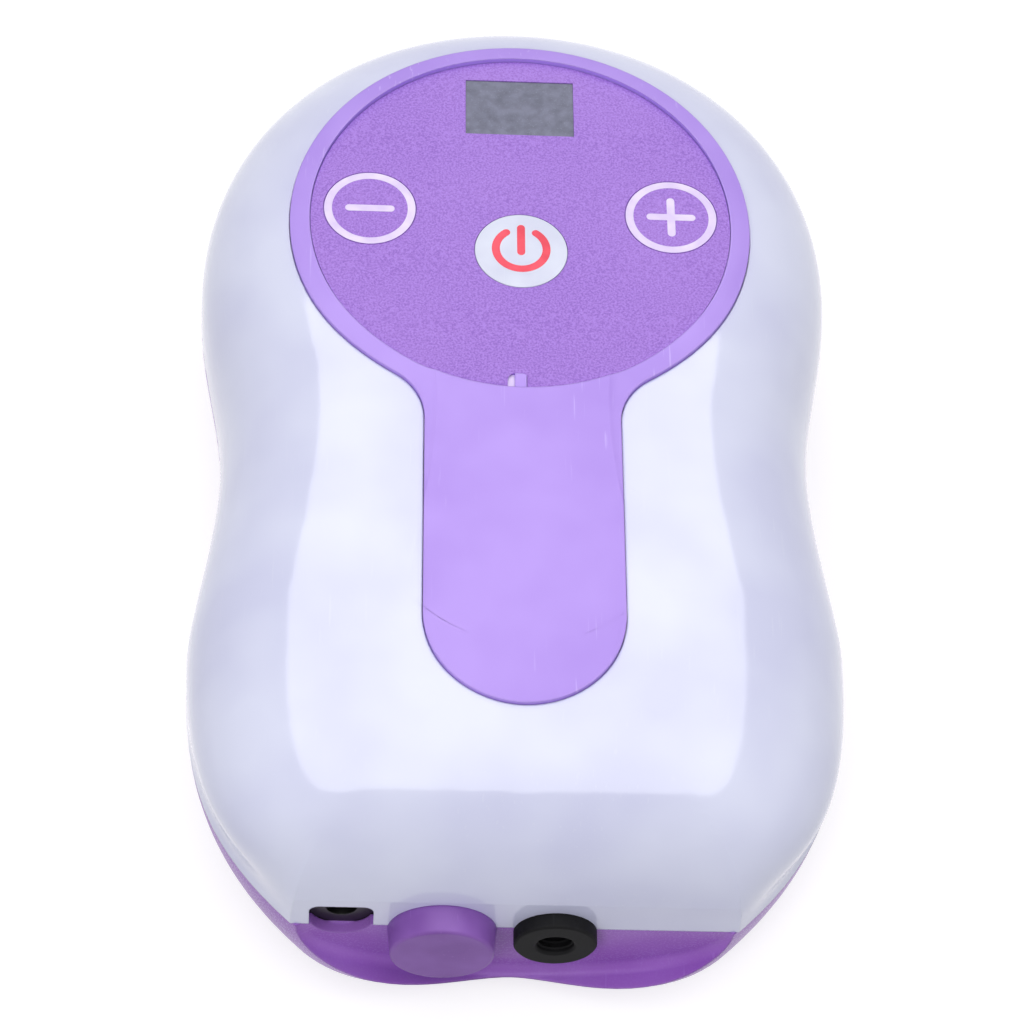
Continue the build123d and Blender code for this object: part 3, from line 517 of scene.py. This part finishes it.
def calmCrown(node, name, finish):
    # copy of a moulding, with the heights and normals round its flat top on one smooth law
    mesh = nodes[node].data.copy()
    mesh.name = name
    corners = [
        (mesh.vertices[loop.vertex_index].co.copy(), normal.vector.copy())
        for loop, normal in zip(mesh.loops, mesh.corner_normals)
    ]
    work = bmesh.new()
    work.from_mesh(mesh)
    bmesh.ops.remove_doubles(work, verts=work.verts, dist=crown["merge"])
    work.to_mesh(mesh)
    work.free()
    normals = sameNormals(mesh, corners)
    top = max(vertex.co.z for vertex in mesh.vertices)
    rim = []
    for edge in mesh.edges:
        start, end = (mesh.vertices[place].co for place in edge.vertices)
        if min(start.z, end.z) > top - crown["flat"]:
            steps = math.ceil((end - start).length / crown["spacing"]) + 1
            rim.extend(start.lerp(end, step / steps) for step in range(steps + 1))
    tree = treeOf(rim)
    upper = {mesh.loops[spot].vertex_index for spot, normal in enumerate(normals) if normal.z > crown["steep"]}
    slope = 2 * crown["fall"] / crown["reach"] ** 2
    tilts = {}  # for each vertex on the curve: the curve's normal, and how much of the old shape it keeps
    for vertex in mesh.vertices:
        if vertex.co.z < top - crown["depth"]:
            continue
        near = tree.find(Vector((vertex.co.x, vertex.co.y, top)))[0]
        away = Vector((vertex.co.x - near.x, vertex.co.y - near.y))
        folded = away.length < crown["fold"] and vertex.co.y < crown["behind"]
        folded = folded and vertex.co.z > top - crown["foldDepth"]
        if away.length >= crown["reach"] or not (folded or vertex.index in upper):
            continue
        law = top - crown["fall"] * (away.length / crown["reach"]) ** 2
        share = max(
            eased((away.length - crown["keep"]) / (crown["reach"] - crown["keep"])),
            eased((law - vertex.co.z - crown["step"]) / crown["step"]),
            eased((vertex.co.y - crown["behind"]) / crown["keep"]),
        )
        tilts[vertex.index] = (Vector((away.x * slope, away.y * slope, 1)).normalized(), share)
        vertex.co.z = law + (vertex.co.z - law) * share
    mesh.update()
    calmed = {face.index for face in mesh.polygons if all(place in tilts for place in face.vertices)}
    for face in mesh.polygons:
        for corner, place in zip(face.loop_indices, face.vertices):
            if place in tilts and (face.normal.z > crown["level"] or face.index in calmed):
                tilt, share = tilts[place]
                normals[corner] = tilt.lerp(normals[corner], share).normalized()
    # what still hangs under the rim is a fold, and goes
    under = {place for place in calmed if mesh.polygons[place].normal.z < crown["under"]}
    kept = [face for face in mesh.polygons if face.index not in under]
    normals = [normals[corner] for face in kept for corner in face.loop_indices]
    work = bmesh.new()
    work.from_mesh(mesh)
    bmesh.ops.delete(work, geom=[face for face in work.faces if face.index in under], context="FACES")
    work.to_mesh(mesh)
    work.free()
    mesh.normals_split_custom_set(normals)
    print(name, "crown calmed at", len(tilts), "points")
    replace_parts(addPiece(name, mesh, finish, "housing"), node)


calmCrown("top_cover", "shell_top", "whiteShell")
calmCrown("control_panel", "keyhole_panel", "lilacPanel")


class Form(Bench):
    # Geometry Nodes tree that sets one shape on each point it is given

    def __init__(self, name, sizes):
        super().__init__(bpy.data.node_groups.new(name, "GeometryNodeTree"))
        sockets = self.tree.interface
        sockets.new_socket("Geometry", in_out="OUTPUT", socket_type="NodeSocketGeometry")
        sockets.new_socket("Points", in_out="INPUT", socket_type="NodeSocketGeometry")
        for size in sizes:
            sockets.new_socket(size, in_out="INPUT", socket_type="NodeSocketFloat")
        sockets.new_socket("Finish", in_out="INPUT", socket_type="NodeSocketMaterial")
        self.points = self.add("NodeGroupInput", {}, {}, "Points")
        self.sizes = {size: self.points.other(size) for size in sizes}

    def stack(self, radius, steps, sides=36):
        # disc that grows: each step rises, then widens or narrows its top face
        disc = self.add("GeometryNodeMeshCircle", {"fill_type": "NGON"}, {"Vertices": sides, "Radius": radius})
        shape, top = disc, True
        for rise, scale in steps:
            sizes = {"Mesh": shape, "Selection": top, "Offset Scale": rise, "Individual": False}
            shape = self.add("GeometryNodeExtrudeMesh", {}, sizes)
            top = shape.other("Top")
            sizes = {"Geometry": shape, "Selection": top, "Scale": scale}
            shape = self.add("GeometryNodeScaleElements", {}, sizes)
        under = self.add("GeometryNodeFlipFaces", {}, {"Mesh": disc})
        whole = self.add("GeometryNodeJoinGeometry", {}, {"Geometry": [shape, under]})
        return self.add("GeometryNodeMergeByDistance", {}, {"Geometry": whole, "Distance": 0.000001})

    def raised(self, shape, rise):
        place = self.add("ShaderNodeCombineXYZ", {}, {"Z": rise})
        return self.add("GeometryNodeTransform", {}, {"Geometry": shape, "Translation": place})

    def tube(self, path, radius, sides):
        # closed wire of one thickness along a path
        section = self.add("GeometryNodeCurvePrimitiveCircle", {}, {"Resolution": sides, "Radius": radius})
        inputs = {"Curve": path, "Profile Curve": section, "Fill Caps": True}
        return self.add("GeometryNodeCurveToMesh", {}, inputs)

    def spiral(self, radius, length, turns, sides):
        inputs = {
            "Start Radius": radius, "End Radius": radius, "Height": length,
            "Rotations": turns, "Resolution": sides,
        }
        return self.add("GeometryNodeCurveSpiral", {}, inputs)

    def spread(self, shape, turn):
        # the turned shape on every point, as the tree's result
        turned = self.add("GeometryNodeTransform", {}, {"Geometry": shape, "Rotation": turn})
        every = self.add("GeometryNodeInstanceOnPoints", {}, {"Points": self.points, "Instance": turned})
        real = self.add("GeometryNodeRealizeInstances", {}, {"Geometry": every})
        inputs = {"Geometry": real, "Material": self.points.other("Finish")}
        dressed = self.add("GeometryNodeSetMaterial", {}, inputs)
        self.add("NodeGroupOutput", {}, {"Geometry": dressed}, None)

    def grow(self, name, places, sizes, finish):
        # the tree at work on some places, kept as a plain mesh
        seeds = bpy.data.meshes.new(name)
        seeds.from_pydata(places, [], [])
        holder = bpy.data.objects.new(name, seeds)
        bpy.context.scene.collection.objects.link(holder)
        worker = holder.modifiers.new(name, "NODES")
        worker.node_group = self.tree
        values = {**sizes, "Finish": finishes[finish]}
        for socket in self.tree.interface.items_tree:
            if socket.name in values:
                worker[socket.identifier] = values[socket.name]
        return meshOf(holder)


# Case screws: pan head with a cross recess, threaded shank
screw = {
    "Head radius": 2.8 * mm, "Head height": 2.0 * mm, "Shank radius": 1.2 * mm, "Length": 25.0 * mm,
    "Thread": 0.22 * mm, "Pitch": 1.1 * mm,
    "Slot length": 3.3 * mm, "Slot width": 0.75 * mm, "Slot depth": 1.2 * mm,
}
screwHead = ((0.45, 1.0), (0.25, 0.94), (0.2, 0.78), (0.1, 0.5))  # share of the height, and scale of its top
screwSeat = 5.0 * mm
screwPosts = ((-36.0, 76.0), (36.0, 76.0), (-31.0, -66.0), (31.0, -66.0))
screwPlaces = [(x * mm, y * mm, screwSeat) for x, y in screwPosts]


def screwForm():
    form = Form("caseScrew", screw)
    size = form.sizes
    head = form.stack(size["Head radius"], [(size["Head height"] * rise, scale) for rise, scale in screwHead])
    slots = []
    for across, along in (("Slot length", "Slot width"), ("Slot width", "Slot length")):
        inputs = {"X": size[across], "Y": size[along], "Z": size["Slot depth"] * 2}
        block = form.add("GeometryNodeMeshCube", {}, {"Size": form.add("ShaderNodeCombineXYZ", {}, inputs)})
        slots.append(form.raised(block, size["Head height"]))
    cut = {"operation": "DIFFERENCE", "solver": "EXACT"}
    head = form.add("GeometryNodeMeshBoolean", cut, {"Mesh 1": head, "Mesh 2": slots})
    inputs = {"Vertices": 24, "Radius": size["Shank radius"], "Depth": size["Length"]}
    shank = form.add("GeometryNodeMeshCylinder", {}, inputs)
    path = form.spiral(size["Shank radius"], size["Length"], size["Length"] / size["Pitch"], 16)
    thread = form.tube(path, size["Thread"], 4)
    parts = [head, form.raised(shank, size["Length"] * -0.5), form.raised(thread, size["Length"] * -1)]
    form.spread(form.add("GeometryNodeJoinGeometry", {}, {"Geometry": parts}), (math.pi, 0, 0))
    return form


screwMesh = screwForm().grow("turned_screws", screwPlaces, screw, "zincSteel")
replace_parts(addPiece("turned_screws", screwMesh, "zincSteel", "housing"), "case_screws")

# Feet: soft discs with a bevelled rim and a dished tread round a small centre boss
foot = {"Radius": 5.0 * mm, "Height": 2.3 * mm, "Bevel": 0.4 * mm, "Dish": 0.5 * mm}
footSeat = 2.3 * mm
footPockets = ((-29.0, 56.0), (29.0, 56.0), (-33.0, -50.0), (33.0, -50.0))
footPlaces = [(x * mm, y * mm, footSeat) for x, y in footPockets]


def footForm():
    form = Form("rubberFoot", foot)
    size = form.sizes
    # each step's rise and the scale of its top: side, bevel, tread, dish and boss
    steps = (
        (size["Height"] - size["Bevel"], 1.0), (size["Bevel"], 0.92), (0.0, 0.82), (size["Dish"] * -0.7, 0.94),
        (size["Dish"] * -0.3, 0.8), (0.0, 0.5), (size["Dish"] * 0.6, 0.8),
    )
    form.spread(form.stack(size["Radius"], steps, 48), (math.pi, 0, 0))
    return form


footMesh = footForm().grow("soft_feet", footPlaces, foot, "footRubber")
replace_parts(addPiece("soft_feet", footMesh, "footRubber", "housing"), "rubber_feet")

# Ribs round the inside of the air outlet, which grip the hose end
rib = {"Radius": 3.42 * mm, "Thickness": 0.28 * mm}
ribSteps = {"first": 1.3 * mm, "gap": 1.25 * mm, "count": 4}


def ribForm():
    form = Form("gripRib", rib)
    inputs = {"Resolution": 64, "Radius": form.sizes["Radius"]}
    path = form.add("GeometryNodeCurvePrimitiveCircle", {}, inputs)
    form.spread(form.tube(path, form.sizes["Thickness"], 10), (math.pi / 2, 0, 0))
    return form


outletLow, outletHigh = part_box("air_outlet")
outletMiddle = (outletLow + outletHigh) / 2
ribPlaces = [
    (outletMiddle.x, outletLow.y + ribSteps["first"] + ribSteps["gap"] * step, outletMiddle.z)
    for step in range(ribSteps["count"])
]
ribMesh = ribForm().grow("outlet_ribs", ribPlaces, rib, "blackRubber")
addPiece("outlet_ribs", ribMesh, "blackRubber", "housing")

# Valve spring: a coil from the valve's face to the plunger's collar
springLow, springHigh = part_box("valve_spring")
springLength = springHigh.x - springLow.x
springInset = 0.28 * mm
coil = {"Radius": 2.6 * mm, "Wire": 0.26 * mm, "Turns": 5.5, "Length": springLength - 2 * springInset}


def coilForm():
    form = Form("coilSpring", coil)
    size = form.sizes
    path = form.spiral(size["Radius"], size["Length"], size["Turns"], 28)
    form.spread(form.tube(path, size["Wire"], 10), (0, math.pi / 2, 0))
    return form


springMiddle = (springLow + springHigh) / 2
springStart = Vector((springLow.x + springInset, springMiddle.y, springMiddle.z))
coilMesh = coilForm().grow("coil_spring", [springStart], coil, "zincSteel")
spring = addPiece("coil_spring", coilMesh, "zincSteel", "housing")
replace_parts(spring, "valve_spring")
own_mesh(spring)
print("screws, feet, ribs and spring grown")

# Label plane that the keypad lies in, tilted up towards the ports, and the ink's thickness
label = {"tilt": math.radians(1.6), "ink": 0.04 * mm}
filmLow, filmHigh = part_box("keypad_overlay")
filmRadius = (filmHigh.x - filmLow.x) / 2
labelMiddle = Vector((0, (filmLow.y + filmHigh.y) / 2, filmHigh.z - filmRadius * math.sin(label["tilt"])))
labelPlace = Matrix.Translation(labelMiddle) @ Matrix.Rotation(-label["tilt"], 4, "X")


def onLabel(node):
    # middle of a key in the label plane
    low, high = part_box(node)
    middle = (low + high) / 2
    flat = labelPlace.inverted() @ Vector((middle.x, middle.y, labelMiddle.z))
    return Vector((flat.x, flat.y))


def circle(middle, radius, steps=96):
    turns = (2 * math.pi * step / steps for step in range(steps))
    return [(middle.x + radius * math.cos(turn), middle.y + radius * math.sin(turn)) for turn in turns]


def stroke(points, width, steps=10):
    # outline of a pen stroke with round ends along the points
    side, other = [], []
    for here, before, after in zip(points, [points[0], *points[:-1]], [*points[1:], points[-1]]):
        along = (after - before).normalized()
        across = Vector((-along.y, along.x)) * width / 2
        side.append(here + across)
        other.append(here - across)
    caps = []
    for end, start in ((points[-1], side[-1]), (points[0], other[0])):
        arm = start - end
        caps.append([end + Matrix.Rotation(-math.pi * step / steps, 2) @ arm for step in range(1, steps)])
    return [tuple(point) for point in (*side, *caps[0], *reversed(other), *caps[1])]


def plusOutline(middle, length, width, steps=10):
    # plus sign as one outline, so that its arms don't overlap
    outline = []
    for quarter in range(4):
        turn = Matrix.Rotation(quarter * math.pi / 2, 2)
        outline.append(middle + turn @ Vector((width / 2, -width / 2)))
        for step in range(steps + 1):
            angle = -math.pi / 2 + math.pi * step / steps
            tip = Vector(((length - width) / 2 + width / 2 * math.cos(angle), width / 2 * math.sin(angle)))
            outline.append(middle + turn @ tip)
    return [tuple(point) for point in outline]


def printed(name, outlines, finish, body, lift=0.0):
    # ink layer on a key: flat curve, filled and lifted a few hundredths
    sheet = bpy.data.curves.new(name, "CURVE")
    sheet.dimensions = "2D"
    sheet.fill_mode = "BOTH"
    sheet.extrude = label["ink"] / 2
    for outline in outlines:
        line = sheet.splines.new("POLY")
        line.points.add(len(outline) - 1)
        for point, (x, y) in zip(line.points, outline):
            point.co = (x, y, 0, 1)
        line.use_cyclic_u = True
    flat = bpy.data.objects.new(name, sheet)
    bpy.context.scene.collection.objects.link(flat)
    mesh = meshOf(flat)
    mesh.transform(labelPlace @ Matrix.Translation((0, 0, lift + label["ink"] / 4)))
    return addPiece(name, mesh, finish, body)


# Signs on the keys
signs = {"ring": 9.12 * mm, "line": 1.55 * mm, "bar": 9.9 * mm, "barLine": 1.6 * mm}
power = {
    "rise": 0.5 * mm, "radius": 5.05 * mm, "line": 1.6 * mm, "gap": 4.3 * mm, "steps": 60,
    "above": 6.1 * mm, "below": 1.6 * mm,
}
minusMiddle, plusMiddle, powerMiddle = (onLabel(key) for key in ("minus_key", "plus_key", "power_key"))
halfBar = Vector(((signs["bar"] - signs["barLine"]) / 2, 0))
for signName, middle in (("minus", minusMiddle), ("plus", plusMiddle)):
    rings = [circle(middle, signs["ring"]), circle(middle, signs["ring"] - signs["line"])]
    printed(f"{signName}_ring", rings, "whiteInk", f"{signName}_button")
minusOutline = stroke([minusMiddle - halfBar, minusMiddle + halfBar], signs["barLine"])
printed("minus_sign", [minusOutline], "whiteInk", "minus_button")
crossOutline = plusOutline(plusMiddle, signs["bar"], signs["barLine"])
printed("plus_sign", [crossOutline], "whiteInk", "plus_button")

arcMiddle = powerMiddle + Vector((0, power["rise"]))
halfGap = math.asin((power["gap"] + power["line"]) / 2 / power["radius"])
arcStart, arcSweep = math.pi / 2 + halfGap, 2 * (math.pi - halfGap)
arcTurns = [arcStart + arcSweep * step / power["steps"] for step in range(power["steps"] + 1)]
powerArc = [arcMiddle + Vector((math.cos(turn), math.sin(turn))) * power["radius"] for turn in arcTurns]
powerBar = [
    arcMiddle - Vector((0, power["below"] - power["line"] / 2)),
    arcMiddle + Vector((0, power["above"] - power["line"] / 2)),
]
printed("power_arc", [stroke(powerArc, power["line"])], "redInk", "power_button")
printed("power_bar", [stroke(powerBar, power["line"])], "redInk", "power_button")
print("signs printed")

# Notch at the foot of the film: round corners in the film, and the pale tray edge beside its tab
notch = {
    "low": -2.9 * mm, "high": 0.9 * mm, "height": 3.6 * mm, "tab": -1.5 * mm, "depth": 0.56 * mm,
    "lowRound": 1.68 * mm, "highRound": 0.98 * mm, "sideGap": 0.1 * mm, "topGap": 0.05 * mm,
}


def cornerFill(corner, reach, turn, steps=12):
    # what a rounded corner leaves filled: the corner itself and an arc across it
    outline = [corner]
    for step in range(steps + 1):
        angle = math.pi / 2 * step / steps
        point = Vector((1 - math.sin(angle), math.cos(angle) - 1)) * reach
        outline.append(corner + Matrix.Rotation(turn, 2) @ point)
    return [tuple(point) for point in outline]


notchTop = notch["height"] - filmRadius
filmCorners = [
    cornerFill(Vector((notch["low"], notchTop)), notch["lowRound"], 0),
    cornerFill(Vector((notch["high"], notchTop)), notch["highRound"], -math.pi / 2),
]
printed("notch_corners", filmCorners, "keypadFilm", "housing")
paleFoot, paleHead = notch["sideGap"] - filmRadius, notchTop - notch["topGap"]
paleEdge = [
    (notch["low"], paleFoot), (notch["tab"], paleFoot), (notch["tab"], paleHead), (notch["low"], paleHead),
]
printed("notch_light", [paleEdge], "whiteInk", "housing", -notch["depth"])
print("notch finished")

# Floor and light: pale floor, a large panel overhead, a key from the front left, a little from the right,
# and the sheen, a round panel that only shows in gloss
room = {
    "floor": 3.0, "floorColour": 0.55, "floorGlow": 0.66, "floorSpeckle": 40, "speckleDepth": 0.02,
    "fill": 0.43,
}
lamps = {
    "overhead": {"place": (0.0, 0.30, 1.30), "size": (1.80, 2.40), "power": 13.0},
    "sheen": {"place": (0.0, 0.90, 1.31), "size": (1.84, 3.50), "power": 72.0},
    "frontLeft": {"place": (-0.60, -1.00, 1.00), "size": (0.50, 0.50), "power": 4.4},
    "right": {"place": (1.05, -0.20, 0.75), "size": (0.35, 0.90), "power": 0.9},
}


def showRay(bench):
    # 1 for what the camera sees, straight, in gloss or through glass
    straight = bench.add("ShaderNodeLightPath", {}, {}, "Is Camera Ray")
    seen = straight + straight.other("Is Glossy Ray") + straight.other("Is Transmission Ray")
    return bench.add("ShaderNodeClamp", {}, {"Value": seen})


def floorFinish(look):
    paint = Paint("paleFloor")
    shade = look["floorColour"] - paint.noise(look["floorSpeckle"], 3) * look["speckleDepth"]
    dull = paint.add("ShaderNodeBsdfDiffuse", {}, {"Color": paint.blend(shade, (0, 0, 0), (1, 1, 1))})
    glow = paint.add("ShaderNodeEmission", {}, {"Color": (1, 1, 1, 1), "Strength": look["floorGlow"]})
    lit = paint.add("ShaderNodeAddShader", {}, {0: dull, 1: glow})
    surface = paint.add("ShaderNodeMixShader", {}, {0: showRay(paint), 1: dull, 2: lit})
    paint.add("ShaderNodeOutputMaterial", {}, {"Surface": surface}, None)
    return paint.material


half = room["floor"] / 2
floorMesh = bpy.data.meshes.new("floor")
floorCorners = [(-half, -half, 0), (half, -half, 0), (half, half, 0), (-half, half, 0)]
floorMesh.from_pydata(floorCorners, [], [(0, 1, 2, 3)])
floorMesh.materials.append(floorFinish(room))
floor = bpy.data.objects.new("floor", floorMesh)
bpy.context.scene.collection.objects.link(floor)

for lampName, lamp in lamps.items():
    isSheen = lampName == "sheen"
    light = bpy.data.lights.new(lampName, "AREA")
    light.shape = "ELLIPSE" if isSheen else "RECTANGLE"
    light.size, light.size_y = lamp["size"]
    light.energy = lamp["power"]
    holder = bpy.data.objects.new(lampName, light)
    holder.location = lamp["place"]
    holder.visible_glossy = isSheen
    holder.visible_diffuse = not isSheen
    if not isSheen:  # the others face the object
        holder.rotation_euler = Vector(lamp["place"]).to_track_quat("Z", "Y").to_euler()
    bpy.context.scene.collection.objects.link(holder)

sky = bpy.data.worlds.new("sky")
sky.use_nodes = True
bpy.context.scene.world = sky
skyTree = Bench(sky.node_tree)
skyStrength = showRay(skyTree) * (1 - room["fill"]) + room["fill"]
skyLight = skyTree.add("ShaderNodeBackground", {}, {"Color": (1, 1, 1, 1), "Strength": skyStrength})
skyTree.add("ShaderNodeOutputWorld", {}, {"Surface": skyLight}, None)
bpy.context.scene.view_settings.view_transform = "Standard"
print("room lit")
